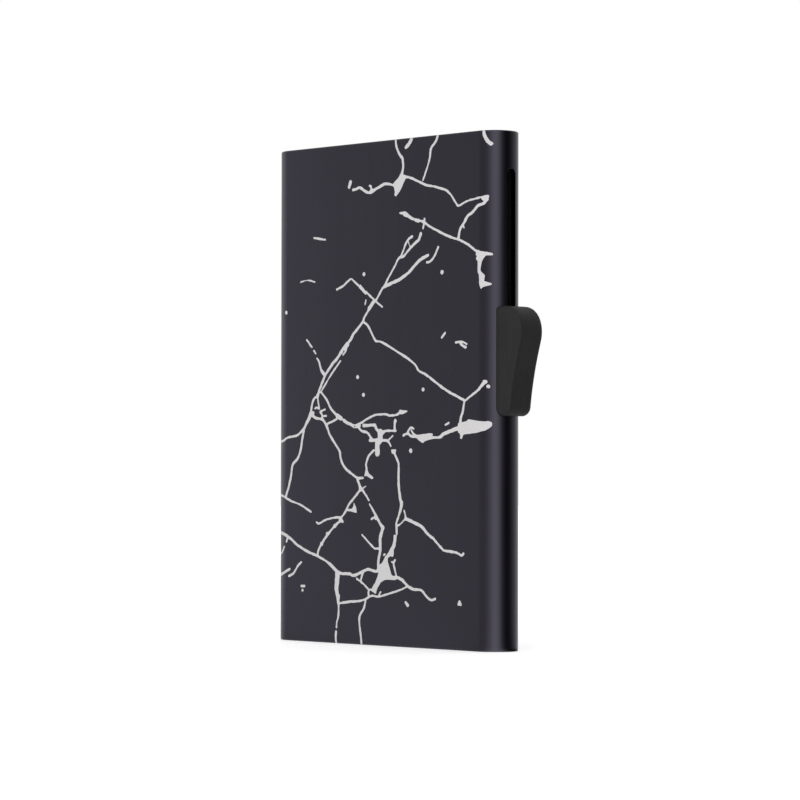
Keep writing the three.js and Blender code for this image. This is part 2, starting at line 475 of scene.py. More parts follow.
def springSteel():
    look = springLook
    material, tree, shader, position = newMaterial("springSteel", 1.0, 0.3)
    stretch = addNode(tree, "ShaderNodeVectorMath", operation="MULTIPLY")
    stretch.inputs[1].default_value = (1.0, 1.0, 0.03)  # rolling lines run along the strip
    feed(tree, position, stretch.inputs[0])
    lines = useGroup(tree, grainGroup, Grain_Size=0.00008, Softness=0.2)
    feed(tree, stretch.outputs[0], lines.inputs["Position"])
    stops = [(0.3, look["dark"]), (0.7, look["light"])]
    rampTo(tree, lines.outputs["Speckle"], stops, shader.inputs["Base Color"])
    feed(tree, between(tree, lines.outputs["Speckle"], *look["roughness"]), shader.inputs["Roughness"])
    bumpTo(tree, lines.outputs["Height"], shader, 0.2, 0.00001)
    return material


finishes = {
    "anodised_aluminium": anodisedAluminium(),
    "marble_print": marbleInk(),
    "tab_plastic": mouldedPlastic("tabPlastic", tabLook),
    "inner_plastic": mouldedPlastic("innerPlastic", innerLook),
    "foam": microFoam(),
    "spring_steel": springSteel(),
}


def paint(obj, slotName):
    obj.data.materials.clear()
    obj.data.materials.append(finishes[slotName])


print("finishes made:", len(finishes))


# ---- the sleeve: a flattened tube with round sides, broken rims and a slot for the tab

sleeveSpec = {
    "wall": 1.1,
    "rim": 0.3,  # how far the rims are broken
    "slotEdge": 0.08,
    "slotHalf": 1.12,
    "slotBottom": 46.2,
    "slotTop": 90.8,
    "patch": 3.0,  # height of the stretch of mesh that turns the slot's round end into the grid
    "rings": (0, 0.22, 0.55, 1),
    "stripSteps": 8,
    "straightSteps": 8,
    "roundSteps": 26,
    "flatSteps": 14,
    "blendAngle": 70,
}


def sleeveColumns():
    # Pairs of points, outside and in the bore, all round the section, from the slot's front edge.
    # The slot's walls are parallel, so near it the bore's columns keep the outer ones' y.
    spec = sleeveSpec
    bore = outerRadius - spec["wall"]
    slotAngle = math.asin(spec["slotHalf"] / outerRadius)
    spread = math.asin(spec["slotHalf"] / bore) - slotAngle
    limit = math.radians(spec["blendAngle"])
    columns = []

    def add(centre, angle, inner):
        columns.append((
            (centre + outerRadius * math.cos(angle), outerRadius * math.sin(angle)),
            (centre + bore * math.cos(inner), bore * math.sin(inner)),
        ))

    def addRight(angle):
        fade = max(0.0, (limit - abs(angle)) / (limit - slotAngle))
        add(sideCentre, angle, angle + math.copysign(spread * fade, angle))

    for k in range(spec["stripSteps"]):
        y = spec["slotHalf"] * (2 * k / spec["stripSteps"] - 1)
        add(sideCentre, math.asin(y / outerRadius), math.asin(y / bore))
    steps, flats = spec["roundSteps"], spec["flatSteps"]
    for k in range(steps + 1):
        addRight(slotAngle + (math.pi / 2 - slotAngle) * k / steps)
    for k in range(1, flats):
        add(sideCentre * (1 - 2 * k / flats), math.pi / 2, math.pi / 2)
    for k in range(2 * steps + 1):
        angle = math.pi / 2 + math.pi * k / (2 * steps)
        add(-sideCentre, angle, angle)
    for k in range(1, flats):
        add(sideCentre * (2 * k / flats - 1), -math.pi / 2, -math.pi / 2)
    for k in range(steps):
        addRight(-math.pi / 2 + (math.pi / 2 - slotAngle) * k / steps)
    return columns


def sleeveRows():
    # heights of the grid's rows, and where the slot's end patches and straight stretch lie in them
    spec = sleeveSpec
    side = spec["stripSteps"] // 2
    low = spec["slotBottom"] + spec["slotHalf"]
    high = spec["slotTop"] - spec["slotHalf"]
    below = [0.0, 0.8, 12.0, 26.0, 38.0]
    lowPatch = [low - spec["patch"] * k / side for k in range(side, 0, -1)]
    straight = [low + (high - low) * k / spec["straightSteps"] for k in range(spec["straightSteps"] + 1)]
    highPatch = [high + spec["patch"] * k / side for k in range(1, side + 1)]
    above = [sleeveHeight - 2.6, sleeveHeight - 0.8, sleeveHeight]
    patchStart = len(below)
    straightStart = patchStart + side
    straightEnd = straightStart + spec["straightSteps"]
    patchEnd = straightEnd + side
    rows = below + lowPatch + straight + highPatch + above
    return rows, (patchStart, straightStart, straightEnd, patchEnd)


def makeSleeve():
    # Two sheets with one layout, outside and in the bore, joined at both rims and round the slot.
    spec = sleeveSpec
    columns = sleeveColumns()
    heights, (patchStart, straightStart, straightEnd, patchEnd) = sleeveRows()
    last = spec["stripSteps"]
    radii = (outerRadius, outerRadius - spec["wall"])
    points, faces, weights = [], [], {}

    def addPoint(x, y, z):
        points.append((x, y, z))
        return len(points) - 1

    def slotLoop(at, radius):
        # rings of mesh that turn the slot's round ends into the grid; gives the loop round the slot
        upper = [(last, r) for r in range(straightEnd, patchEnd)]
        upper += [(c, patchEnd) for c in range(last, 0, -1)]
        upper += [(0, r) for r in range(patchEnd, straightEnd - 1, -1)]
        lower = [(0, r) for r in range(straightStart, patchStart, -1)]
        lower += [(c, patchStart) for c in range(last)]
        lower += [(last, r) for r in range(patchStart, straightStart + 1)]
        loop = []
        for border, row, start in ((upper, straightEnd, 0), (lower, straightStart, 180)):
            mouth = arc((0, heights[row]), spec["slotHalf"], start, start + 180, len(border) - 1)
            rings = []
            for share in spec["rings"]:
                ring = []
                for (y, z), key in zip(mouth, border):
                    if share == 1 or key in (border[0], border[-1]):
                        ring.append(at[key])
                        continue
                    y += (points[at[key]][1] - y) * share
                    z += (heights[key[1]] - z) * share
                    ring.append(addPoint(sideCentre + math.sqrt(radius**2 - y**2), y, z))
                rings.append(ring)
            for inner, outer in zip(rings, rings[1:]):
                for a, b, c, d in zip(inner, inner[1:], outer[1:], outer):
                    faces.append(tuple(dict.fromkeys((a, b, c, d))))
            loop += rings[0]
            if row == straightEnd:
                loop += [at[0, r] for r in range(straightEnd - 1, straightStart, -1)]
        return loop + [at[last, r] for r in range(straightStart + 1, straightEnd)]

    def join(first, second, weight):
        for a, b, c, d in zip(first, first[1:] + first[:1], second[1:] + second[:1], second):
            faces.append((a, b, c, d))
            weights[a, b] = weight
            weights[d, c] = weight

    sheets, loops = [], []
    for side, radius in enumerate(radii):
        at = {}
        for c, column in enumerate(columns):
            for r, z in enumerate(heights):
                if not (0 < c < last and patchStart < r < patchEnd):
                    at[c, r] = addPoint(*column[side], z)
        for c in range(len(columns)):
            n = (c + 1) % len(columns)
            for r in range(len(heights) - 1):
                if c >= last or not patchStart <= r < patchEnd:
                    faces.append((at[c, r], at[n, r], at[n, r + 1], at[c, r + 1]))
        sheets.append(at)
        loops.append(slotLoop(at, radius))
    join(*loops, spec["slotEdge"] / spec["rim"])
    for r in (0, len(heights) - 1):
        join(*[[at[c, r] for c in range(len(columns))] for at in sheets], 1.0)
    sleeve = addObject("sleeve", points, faces)
    bevelWeights(sleeve, weights)
    roundEdges(sleeve, spec["rim"], segments=5)
    applyModifiers(sleeve)
    paint(sleeve, "anodised_aluminium")
    place(sleeve, "case", "anodised_aluminium", "case_shell")


makeSleeve()
print("sleeve made")


# ---- the print: pale marble veins in ink on the front, run round on to both sides

# Each vein is (width at its start, width at its end, points in x and z); patches are filled outlines,
# dots are (x, z, radius) and holes are left clear.
veinSpec = {
    "lift": 0.018,  # of the ink's face above the metal
    "depth": 0.03,
    "cell": 0.115,  # of the grid that the outlines are worked out on
    "halfWidth": 29.4,
    "rimMargin": 0.08,
    "rimClear": 0.4,  # faces nearer the rims than this stay as the grid has them
    "ragged": 0.06,
    "raggedSeed": 7,
    "swell": -0.1,  # of every vein's width
    "shift": (-0.05, 0.14),  # of the whole print on the face, in x and z
    "stretch": (0.9933, 0.9986),
    "lean": (-0.0022, -0.0012),  # of x with height, and of height with x
    "reach": 1.2,  # how far round a stroke the grid is worked out
    "seamEvery": 40,  # grid lines; no face grows past them
}
veins = [
    (0.55, 0.7, [(4.65, 98.4), (4.75, 97), (5.2, 95.9), (5.9, 94.8), (6.6, 94), (6.75, 92.4), (6.3, 90.8)]),
    (0.62, 0.68, [(4.1, 89.1), (2.5, 89.45), (1.5, 89.5), (0, 88.95), (-1.6, 88.4), (-2.9, 88.1),
                  (-3.8, 88.4), (-5, 89.1), (-5.6, 89.25), (-6.3, 89), (-7.3, 88.9)]),
    (0.85, 0.9, [(-1.6, 88.4), (-2.3, 88.2)]),
    (0.5, 0.5, [(-2.1, 88.3), (-2.2, 89.2), (-2.6, 89.4)]),
    (0.8, 0.8, [(-8, 90.5), (-8.4, 89.5)]),
    (0.85, 0.85, [(9.3, 98.4), (8.9, 97.5), (8.3, 96.8), (7.5, 96.2)]),
    (0.68, 0.48, [(16.3, 98.4), (15.8, 97), (14.5, 95.7), (14.2, 94.8), (14, 93.6), (13.1, 91.4),
                  (12.2, 89.6)]),
    (0.6, 0.42, [(7.2, 90.4), (8.2, 90.4), (10.5, 89.6), (13, 88.6), (15.5, 88.1), (18, 87.4), (19, 86.9),
                 (19.8, 86.2), (21, 84.7), (21.5, 84.2), (22, 84.15), (24.2, 84.9), (26.4, 85.2),
                 (28.9, 85.6)]),
    (0.9, 0.8, [(28.1, 85.2), (28.75, 84.9)]),
    (0.65, 0.65, [(28.9, 85.5), (28.4, 84.4), (27.9, 84.1), (26.8, 83.8), (25.5, 82.7), (24.1, 82),
                  (23.3, 80.9), (22.5, 80.1), (22.1, 79.5), (21.7, 78)]),
    (0.5, 0.4, [(23, 80.2), (23.2, 79.8)]),
    (0.4, 0.6, [(5.8, 83.6), (6.7, 83.55)]),
    (1.15, 1.05, [(7.2, 83.35), (7.7, 83.15)]),
    (0.9, 0.55, [(7.7, 83.15), (8.4, 82.8), (9.1, 82.4), (9.9, 82.15)]),
    (0.55, 0.9, [(9.9, 82.15), (10.5, 81.95), (11, 81.85)]),
    (0.55, 0.55, [(11, 81.8), (12.2, 81.6), (14, 80.6), (16.5, 79.5), (19.5, 78.3), (22, 77.6),
                  (24.5, 76.5), (26.6, 75.2), (28.3, 74.9), (29.6, 74.6)]),
    (0.5, 0.5, [(12.6, 82.1), (12.5, 81.4), (12.2, 80.3)]),
    (0.6, 0.9, [(28.1, 98.4), (28.4, 97), (28.9, 96), (29.5, 95.4)]),
    (0.55, 0.5, [(-0.6, 67.2), (0.9, 69.1), (1.6, 69.8), (2.9, 71.5), (4.6, 73.6), (5.2, 74.5),
                 (6.1, 75.2)]),
    (0.5, 0.7, [(6.1, 75.2), (7, 76.7), (7.4, 77.5), (8, 78.2), (8.7, 78.7), (9.2, 78.9)]),
    (0.45, 0.8, [(6.1, 75), (6.9, 75.2), (8.6, 76.6), (10.2, 77.7), (11, 78.2), (11.6, 79.3)]),
    (0.4, 0.4, [(8.2, 78), (8.5, 77.2), (8.8, 77)]),
    (0.75, 0.7, [(1.5, 69.5), (3.6, 70.15), (5.8, 70.8), (8.1, 71.9), (9.8, 73.2), (11.6, 74.4),
                 (13.6, 75.1)]),
    (0.55, 0.55, [(16.3, 76.5), (15.3, 74.9), (14.6, 74.2), (13.9, 73.8), (13.2, 73.75)]),
    (0.5, 0.4, [(-3.6, 67.1), (-3.9, 66.2)]),
    (0.55, 0.5, [(-18.5, 80), (-15.3, 79.5)]),
    (0.4, 0.4, [(-22.5, 71.35), (-21.6, 71.55), (-20.4, 71.65), (-19.3, 71.5), (-18.3, 71.2)]),
    (0.55, 0.55, [(17.2, 59.2), (18.2, 60.1)]),
    (0.5, 0.5, [(21, 58.2), (22.2, 58.3), (23, 58.2), (23.9, 57.8)]),
    (0.6, 0.6, [(22.3, 57.9), (22.9, 57.5), (23.6, 57.2)]),
    (0.55, 0.55, [(18.2, 42.6), (19.1, 42.95)]),
    (0.6, 0.8, [(7.4, 8.5), (8, 8)]),
    (0.6, 0.6, [(-22.2, 10.8), (-21.3, 10.8)]),
    (0.5, 0.5, [(-11.9, 69.5), (-10.2, 70.1), (-8.4, 71.2), (-7.7, 71.4), (-7, 70.9), (-5.2, 69.7)]),
    (0.9, 0.6, [(-5.2, 69.8), (-3.7, 68.4)]),
    (0.5, 0.5, [(-3.6, 68.8), (-2.2, 67.7), (-0.6, 66.6), (1, 65.6)]),
    (0.55, 0.7, [(-0.9, 67), (-1.7, 66.5), (-2.9, 65.1), (-4.1, 63.7), (-4.5, 62.9), (-6.3, 61.3),
                 (-7.2, 60.6), (-7.9, 59.6), (-9.2, 58.4)]),
    (1.15, 0.8, [(-8.9, 58.6), (-10, 57.7), (-10.8, 57)]),
    (0.7, 0.6, [(-10.8, 57), (-12, 55.7), (-13, 55), (-14.9, 53.1), (-15.5, 52.3), (-16.5, 50.5),
                (-17, 49.7), (-17.5, 48.6), (-18.3, 48.2), (-18.9, 47.5), (-19.2, 46.5), (-19.4, 45.6)]),
    (0.9, 0.9, [(-1.5, 66.7), (-2.7, 65.5)]),
    (1.0, 0.6, [(-19.5, 45.1), (-20, 44.1), (-20.7, 43.2), (-21.3, 42.3)]),
    (0.6, 0.55, [(-21.3, 42.3), (-22.3, 41.5), (-23.7, 40.7), (-26.2, 40.4), (-27.8, 39.7), (-29.8, 39.6)]),
    (0.5, 0.5, [(-9, 58.3), (-9.3, 57.4), (-10.1, 56.6)]),
    (0.5, 0.5, [(-10.9, 55.4), (-12, 54.3), (-13.9, 52.4), (-15.1, 51), (-16.6, 49.3)]),
    (0.5, 0.5, [(-20.7, 59.8), (-20.1, 59.3), (-19.6, 58.7), (-19.1, 58.3)]),
    (0.5, 0.5, [(-18.6, 57.6), (-18, 57)]),
    (0.5, 0.7, [(-17.7, 56.1), (-17, 55.2), (-16.4, 53.6), (-15.4, 52.6)]),
    (0.4, 0.4, [(-16.2, 53.6), (-15.2, 52.9)]),
    (0.55, 0.55, [(-4.5, 62.9), (-3, 62), (-1.2, 59.4), (-0.6, 59), (0.4, 58.9), (2.2, 58.2), (6, 56.4),
                  (8, 55.45), (10, 54.2), (11, 53.05), (13, 52.2), (16, 50.5)]),
    (0.6, 0.6, [(16, 50.5), (17.3, 49.75), (19, 48.9), (21, 48.1), (23.3, 47.15)]),
    (0.45, 0.8, [(23.4, 47.1), (25.2, 48.1), (27, 49.2), (28.2, 50.4), (28.5, 50.6)]),
    (0.5, 0.7, [(23.3, 47.1), (22.8, 45), (22.4, 44.1), (22.2, 43.1)]),
    (0.9, 0.55, [(21.8, 42), (19.9, 41.5), (17.8, 40.9), (17.1, 40.45), (16.4, 40.2), (14.8, 40.2)]),
    (0.6, 0.6, [(10.6, 40.3), (8.9, 40.5), (8.2, 40.9), (7.5, 40.9), (6.8, 40.6)]),
    (0.5, 0.5, [(7.9, 41), (8.3, 41.7), (8.9, 42.15), (9.6, 41.95)]),
    (0.45, 0.45, [(9, 41.6), (9.5, 41), (10.6, 40.5)]),
    (0.5, 0.5, [(-6, 42.9), (-5, 43.15), (-3, 44), (-1, 44.65), (2, 44.75), (3, 44.5), (5, 44.65),
                (5.5, 44.9)]),
    (0.75, 0.65, [(4.6, 43.5), (4.4, 42.8), (4.4, 41.9)]),
    (0.55, 0.55, [(1.1, 41.4), (2.2, 41.55), (4.7, 41.55)]),
    (1.45, 1.35, [(0.4, 41.3), (0.4, 40.3), (0.2, 39.6), (-0.4, 39), (-0.4, 37.2)]),
    (0.75, 0.75, [(-2.5, 39.7), (-0.3, 39.8)]),
    (0.7, 0.5, [(0.4, 39.7), (2.4, 39.6), (3.3, 38.6)]),
    (0.45, 0.45, [(2.4, 39.6), (3.9, 40.6)]),
    (0.7, 0.7, [(-4.3, 42.6), (-1.6, 42.7), (-1, 42.6), (-0.7, 42), (0.3, 41.2)]),
    (0.6, 0.6, [(-5.6, 42.2), (-4.9, 41.6), (-3.2, 41.2), (-2.1, 40.1), (-1.6, 39.8)]),
    (0.5, 0.5, [(1.1, 41), (1.6, 41.4)]),
    (0.9, 0.9, [(-5.5, 42.6), (-7, 42.5)]),
    (0.7, 0.7, [(-7, 42.5), (-8, 42.9), (-9, 43.2), (-10, 43.7)]),
    (1.0, 1.0, [(-10.7, 44.1), (-11.8, 44.6)]),
    (0.6, 0.55, [(-11.8, 44.6), (-13.5, 45.9), (-14.8, 47.7), (-16.5, 49.4)]),
    (0.55, 0.5, [(-11.9, 44), (-12.8, 43.6), (-14.8, 43)]),
    (0.5, 0.5, [(-17.5, 48.4), (-17.3, 47.3), (-17, 46.1), (-17.7, 46.3), (-18.2, 46.1)]),
    (0.5, 0.5, [(-15.3, 45.9), (-16.7, 45.4), (-16.2, 44.9), (-16.2, 44.3), (-15.9, 43.9)]),
    (0.45, 0.45, [(-16, 44.6), (-14.9, 44.6)]),
    (0.6, 0.6, [(-19.3, 44.9), (-17.9, 44.2), (-16.1, 43.9), (-14.9, 42.7), (-13.9, 40.8), (-12.4, 39.1),
                (-11.1, 37.6), (-10.7, 35.9), (-9.7, 34.5), (-8, 33.4), (-6.1, 32.45), (-4.5, 32.4)]),
    (0.65, 0.6, [(-21.5, 41.7), (-22, 39.9), (-22.5, 37.7), (-23.4, 36.1), (-24.8, 34.9), (-25.2, 33),
                 (-25.9, 30.7), (-26.8, 28.6)]),
    (0.55, 0.5, [(-29.8, 28.8), (-27.9, 28.7), (-25.4, 27.75), (-22.6, 27), (-20.7, 26.2), (-19.4, 25.6)]),
    (0.5, 0.6, [(-17.8, 23.6), (-17.3, 23.3), (-16.7, 23.4), (-15, 24.1), (-12.2, 24.6), (-10.6, 24.7),
                (-9.4, 25.8), (-8.4, 27.2), (-6.4, 29), (-5.1, 30.2)]),
    (1.0, 1.0, [(-5.2, 30.5), (-5.1, 30.2)]),
    (0.7, 0.7, [(-5.2, 30.6), (-5.8, 31.6), (-6.1, 32.3)]),
    (0.6, 0.5, [(-4.7, 30.2), (-3.5, 28.9), (-2.8, 28)]),
    (0.4, 0.4, [(-4.6, 30.3), (-3.6, 30.8)]),
    (0.5, 0.75, [(-2.6, 27.3), (-1.2, 25.6), (0, 24), (1.2, 22.7)]),
    (0.5, 0.5, [(-1, 24.9), (-2.1, 24.4)]),
    (0.9, 0.65, [(1.2, 22.8), (0.5, 21.2), (0.35, 20.2), (0.4, 18.3), (-0.1, 16.5), (-0.2, 14.8)]),
    (0.5, 0.5, [(-4.7, 21.3), (-3, 20), (-1.3, 18.8), (-0.5, 18.7), (0.2, 18.8)]),
    (0.6, 0.6, [(-10.2, 23.8), (-10.9, 23.9), (-12.4, 23), (-13.8, 21.8), (-15, 20.7), (-16.3, 19.3),
                (-17.2, 18), (-17.4, 17.2)]),
    (0.6, 0.6, [(-1.4, 37.8), (-2.9, 36.6), (-3.6, 35), (-3.4, 34.2), (-3.5, 33.4)]),
    (0.55, 0.75, [(4.4, 37.1), (5.3, 35.6), (5.5, 34.7), (5.5, 31), (6, 28.2)]),
    (1.0, 0.6, [(6.3, 27.7), (6.2, 26.9), (5.6, 25.3)]),
    (0.6, 0.6, [(5.6, 25.3), (4.9, 23.8), (4.9, 23), (5, 21.6)]),
    (0.45, 0.45, [(5.1, 23.3), (5.9, 23.5), (7.1, 24.4)]),
    (0.65, 0.4, [(7.4, 24.7), (7.3, 25.4), (7, 26.2)]),
    (0.8, 0.6, [(7.4, 24.6), (8.2, 24.4), (10, 23.8), (11.9, 23.1), (13.4, 21.8), (15, 20.9)]),
    (0.55, 0.6, [(15, 20.9), (17.2, 19.1), (18, 18.7), (21, 18.4), (22.5, 17.9), (23, 18.2)]),
    (0.55, 0.55, [(4.8, 13.7), (4.3, 15.2), (4.1, 16), (4.5, 16.6)]),
    (0.5, 0.5, [(3.6, 16.2), (4.2, 16.1)]),
    (0.75, 0.5, [(4, 13.1), (5, 13.3), (6.6, 12.7), (8, 11.7), (9.6, 11.1), (11.6, 11), (12.9, 10),
                 (14.2, 9.2), (15, 9.3), (15.5, 9.5)]),
    (0.5, 0.55, [(8, 11.6), (6, 10.9), (3, 10.1), (0, 9.4), (-2, 9.5), (-3.5, 8.9), (-5.3, 8.4),
                 (-8.6, 8.1), (-11.4, 7.7)]),
    (0.5, 0.5, [(0, 9.7), (0.5, 10.3)]),
    (0.5, 0.5, [(-2.8, 9.4), (-2.9, 10.2), (-2.6, 10.7), (-2, 10.6), (-0.9, 10.1)]),
    (0.5, 0.5, [(-6.2, 12.7), (-4.6, 11.9), (-3, 10.8)]),
    (0.55, 0.55, [(-4.4, 14), (-4.8, 13.2), (-5, 12.5)]),
    (0.7, 0.65, [(-14, 15.5), (-12, 14.1), (-10.5, 13.6), (-8.3, 13.6), (-7, 13.3), (-4.7, 14.1),
                 (-3, 14.6), (-1.2, 14.3), (-0.4, 14.4)]),
    (1.4, 1.1, [(-11.7, 13.6), (-11.9, 11.5), (-12, 10.5)]),
    (1.1, 0.75, [(-12, 10.5), (-11.6, 8.7), (-11.4, 7.6)]),
    (0.5, 0.5, [(-11.2, 9.4), (-11.2, 8.7)]),
    (0.55, 0.5, [(-11.4, 7.6), (-11.4, 5.6), (-11.9, 4), (-12, 3)]),
    (0.65, 0.6, [(-12.1, 2.1), (-12.2, 1), (-12, -0.4)]),
    (0.57, 0.55, [(-3.7, 8.7), (-4.2, 7), (-5.4, 5.4), (-5.4, 3.5), (-5, 1.3), (-4.9, -0.4)]),
    (0.7, 0.6, [(-30, 21.2), (-28, 21.2), (-25.4, 20.2), (-23.7, 19.1), (-20.4, 17.7), (-18.2, 17.1)]),
    (0.6, 0.55, [(-18.2, 17.1), (-16.4, 16.5), (-14.4, 15.6), (-11.9, 13.9)]),
    (0.5, 0.5, [(-26.3, 20.3), (-26.6, 19.5)]),
    (0.55, 0.5, [(-30, 17.3), (-29, 17.2), (-28.2, 17.4), (-27.3, 18.5)]),
    (0.65, 0.6, [(-30, 12.8), (-28, 13.1), (-26.3, 13.8), (-25.6, 14.1)]),
    (0.65, 0.5, [(-25.9, 12.7), (-24.5, 13.3), (-23.3, 14.7), (-22.2, 15.6)]),
]
patches = [
    [(21.3, 8.4), (21.75, 9.35), (22.15, 9.35), (22.6, 8.4)],
    [(6, 91.2), (6.9, 91), (7.5, 90.8), (7.3, 90), (6.8, 89.3), (6.3, 88.4), (5.6, 87.6), (4.7, 86.9),
     (4.3, 87.2), (4.5, 87.8), (4.1, 89), (4.1, 89.5), (4.9, 90.1), (5.6, 90.6)],
    [(26.8, 75.5), (28, 74.95), (28.55, 74.75), (29.6, 74.8), (29.6, 74.4), (28.6, 74.4), (27.75, 73.2),
     (27.55, 72.4), (27.5, 71.6), (28.4, 70.6), (28.2, 69.6), (29.6, 69.1), (29.6, 68.8), (28, 68.5),
     (27.6, 67.9), (27.2, 69), (27.1, 70.8), (26.8, 71.3), (26.8, 73.4), (26.3, 73.8), (26.6, 74.3),
     (26.2, 74.7)],
    [(27.9, 50.9), (28.4, 51), (28.9, 50.7), (28.4, 50.2)],
    [(21.6, 42.9), (23, 43.1), (23.8, 43.25), (24.3, 43.6), (26.3, 43.35), (28.3, 43.1), (29, 43.2),
     (29.6, 43), (29.6, 42.4), (29.2, 41.9), (28.2, 41.4), (26, 41), (23.1, 40.7), (22.6, 39.95),
     (22.1, 39.95), (22.2, 40.5), (22, 40.9), (21.5, 41.3)],
    [(10.3, 40.7), (12, 40.85), (14.7, 41.05), (14.9, 40.7), (14.4, 40.5), (14.9, 40), (12.7, 39.5),
     (12.1, 39.1), (10.9, 39.7), (10.5, 40.1)],
    [(5.5, 45), (5.9, 45.7), (6.5, 45.5), (7.8, 45.4), (7.9, 45.2), (6.7, 44.75), (5.8, 44.8)],
    [(-7.2, 27.8), (-6.8, 27.3), (-6.4, 26.6), (-6.1, 25.5), (-8, 25.85), (-8.9, 25.9), (-8.6, 26.3),
     (-7.8, 26.3), (-7.2, 26.7), (-7.1, 27.3)],
    [(-10.9, 24.6), (-10.4, 24.5), (-10, 23.8), (-11.1, 23.7), (-11.4, 24.3)],
    [(-3.7, 34.1), (-3.2, 34.1), (-2.9, 33.4), (-1.5, 32.5), (-1.7, 32.2), (-2.2, 32.2), (-3.4, 32.8),
     (-4.1, 32.7)],
    [(3.4, 37.9), (4.9, 38), (4.7, 37.3), (4.2, 37.1), (3.6, 37.2)],
    [(4.1, 21.4), (5, 21.5), (4.9, 20.5), (4.6, 19.2), (4.2, 18.6), (4.1, 17.6), (3.9, 17.1), (3.3, 17.3),
     (2.5, 17), (2.5, 16.2), (3.2, 14.5), (3.5, 13.7), (4.1, 13.4), (5, 13.7), (5, 12.8), (1.6, 12.7),
     (0.5, 12.1), (-0.4, 11), (-0.8, 10.1), (-1.9, 10.3), (-2, 10.9), (-1.1, 12), (-0.3, 13.4), (-0.1, 14),
     (-0.7, 14.2), (-0.5, 14.9), (0.3, 15.6), (0.9, 15.9), (1.7, 17.2), (2.7, 18), (3.9, 19.7),
     (4.1, 20.5)],
    [(1, 17.2), (1.4, 17.8), (1.9, 17.9), (1.8, 17.4)],
]
dots = [
    (-4.2, 72.2, 0.42), (17.3, 71.7, 0.44), (-26.7, 65.4, 0.4), (-6, 52.1, 0.42), (-4.3, 48.6, 0.4),
    (12.2, 49.4, 0.4), (8.8, 37.7, 0.45), (29, 49.7, 0.35), (-21.9, 10, 0.3), (-0.8, 24.7, 0.5),
    (-17.5, 48.6, 0.42), (-18.8, 45.2, 0.4), (-12.5, 22.9, 0.42), (-14.6, 21.3, 0.42), (-16.3, 19.3, 0.42),
]
holes = [(-9.9, 57.3, 0.17), (-16, 50.8, 0.15), (-6.8, 42.45, 0.16)]


def rounded(points, steps=5):
    # a smooth line through the listed points
    padded = [points[0], *points, points[-1]]
    line = [points[0]]
    for a, b, c, d in zip(padded, padded[1:], padded[2:], padded[3:]):
        for k in range(1, steps + 1):
            t = k / steps
            line.append(tuple(
                0.5 * (
                    2 * q + (r - p) * t + (2 * p - 5 * q + 4 * r - s) * t**2 + (3 * q - p - 3 * r + s) * t**3
                )
                for p, q, r, s in zip(a, b, c, d)
            ))
    return line


def softNoise(width, height, cells, seed):
    # smooth random values between about -1 and 1, changing every few cells
    lattice = np.random.RandomState(seed).uniform(-1, 1, (width // cells + 3, height // cells + 3))
    across = np.arange(width) / cells
    along = np.arange(height) / cells
    rows = np.array([np.interp(along, range(lattice.shape[1]), line) for line in lattice])
    return np.array([np.interp(across, range(rows.shape[0]), line) for line in rows.T]).T


def laid(x, z):
    # where a drawn point comes on the face
    spec = veinSpec
    acrossX = spec["shift"][0] + spec["stretch"][0] * x + spec["lean"][0] * z
    upZ = spec["shift"][1] + spec["stretch"][1] * z + spec["lean"][1] * x
    return acrossX, upZ


